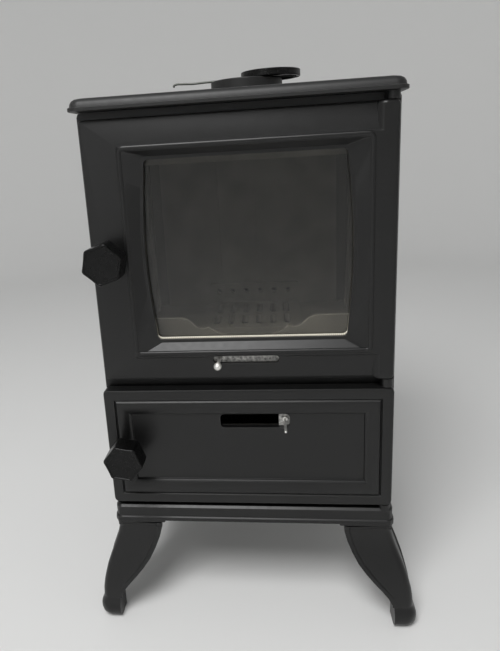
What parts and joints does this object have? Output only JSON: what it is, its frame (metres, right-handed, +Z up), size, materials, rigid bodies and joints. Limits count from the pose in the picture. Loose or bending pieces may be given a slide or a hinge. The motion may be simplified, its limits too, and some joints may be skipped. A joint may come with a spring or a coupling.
{
  "type": "wood stove",
  "caption": "Small free-standing cast-iron wood stove on cabriole legs, with a glazed fire door, an ash door with an air slide, a flue collar and a loose damper plate.",
  "frame": {"origin": "on the floor, under the middle of the stove's whole outline", "axes": "+X to the right seen from the front, +Y from the front to the back, +Z up"},
  "size_m": [0.4132, 0.3782, 0.7016],
  "materials": {
    "cast_paint": "matt black stove paint on cast iron",
    "top_paint": "matt black stove paint, greyer where it is dusty",
    "raw_cast": "plain cast iron, sooty",
    "knob_paint": "satin black",
    "bright_steel": "bright turned steel",
    "zinc_sheet": "zinc plating, mottled",
    "dark_steel": "blackened steel",
    "seal_rope": "knitted glass-fibre rope, grey",
    "glass_tape": "white woven glass tape",
    "glass": "clear ceramic glass, lightly sooted"
  },
  "bodies": {
    "stove": {"base": "cast_paint", "leg_front_left": "cast_paint", "leg_front_right": "cast_paint", "leg_rear_left": "cast_paint", "leg_rear_right": "cast_paint", "leg_bolt_front_left": "dark_steel", "leg_bolt_front_right": "dark_steel", "leg_bolt_rear_left": "dark_steel", "leg_bolt_rear_right": "dark_steel", "front_frame": "cast_paint", "hinge_pin_top": "dark_steel", "hinge_pin_middle": "dark_steel", "hinge_pin_bottom": "dark_steel", "left_side": "cast_paint", "right_side": "cast_paint", "back_plate": "cast_paint", "shelf": "raw_cast", "fire_grate": "raw_cast", "log_guard": "raw_cast", "liner_left": "raw_cast", "liner_right": "raw_cast", "liner_back": "raw_cast", "baffle": "raw_cast", "ash_pan": "dark_steel", "tie_rod_front_left": "dark_steel", "tie_rod_front_right": "dark_steel", "tie_rod_rear_left": "dark_steel", "tie_rod_rear_right": "dark_steel", "top_plate": "top_paint", "flue_collar": "top_paint", "collar_screw_1": "dark_steel", "collar_screw_2": "dark_steel", "collar_screw_3": "dark_steel"},
    "upper_door": {"upper_door": "cast_paint", "window_glass": "glass", "window_tape": "glass_tape", "glass_strip_bottom": "dark_steel", "glass_strip_top": "dark_steel", "glass_screw_bottom_left": "bright_steel", "glass_screw_bottom_right": "bright_steel", "glass_screw_top_left": "bright_steel", "glass_screw_top_right": "bright_steel", "upper_door_rope": "seal_rope", "upper_slide_guide": "dark_steel"},
    "upper_latch": {"upper_knob": "knob_paint", "upper_spindle": "dark_steel", "upper_tongue": "bright_steel"},
    "upper_slide": {"upper_air_slide": "zinc_sheet", "upper_slide_pin": "bright_steel"},
    "lower_door": {"lower_door": "cast_paint", "lower_door_rope": "seal_rope", "lower_slide_guide": "dark_steel"},
    "lower_latch": {"lower_knob": "knob_paint", "lower_spindle": "dark_steel", "lower_tongue": "bright_steel"},
    "lower_slide": {"lower_air_slide": "zinc_sheet", "lower_slide_pin": "bright_steel"},
    "damper": {"damper_plate": "knob_paint", "damper_rod": "bright_steel"}
  },
  "joints": [
    {"name": "upper_door_hinge", "type": "hinge", "parent": "stove", "child": "upper_door", "pos_m": [0.1675, -0.14105, 0.4855], "axis": [0, 0, 1], "range_deg": [0, 120]},
    {"name": "lower_door_hinge", "type": "hinge", "parent": "stove", "child": "lower_door", "pos_m": [0.1675, -0.14105, 0.24], "axis": [0, 0, 1], "range_deg": [0, 120]},
    {"name": "upper_latch_turn", "type": "hinge", "parent": "upper_door", "child": "upper_latch", "pos_m": [-0.149, -0.14805, 0.4855], "axis": [0, -1, 0], "range_deg": [0, 90]},
    {"name": "lower_latch_turn", "type": "hinge", "parent": "lower_door", "child": "lower_latch", "pos_m": [-0.149, -0.14805, 0.24], "axis": [0, -1, 0], "range_deg": [0, 90]},
    {"name": "upper_slide_travel", "type": "slide", "parent": "upper_door", "child": "upper_slide", "axis": [1, 0, 0], "range_m": [0, 0.065]},
    {"name": "lower_slide_travel", "type": "slide", "parent": "lower_door", "child": "lower_slide", "axis": [1, 0, 0], "range_m": [-0.074, 0]},
    {"name": "damper_lift", "type": "slide", "parent": "stove", "child": "damper", "axis": [0, 0, 1], "range_m": [0, 0.1]}
  ]
}
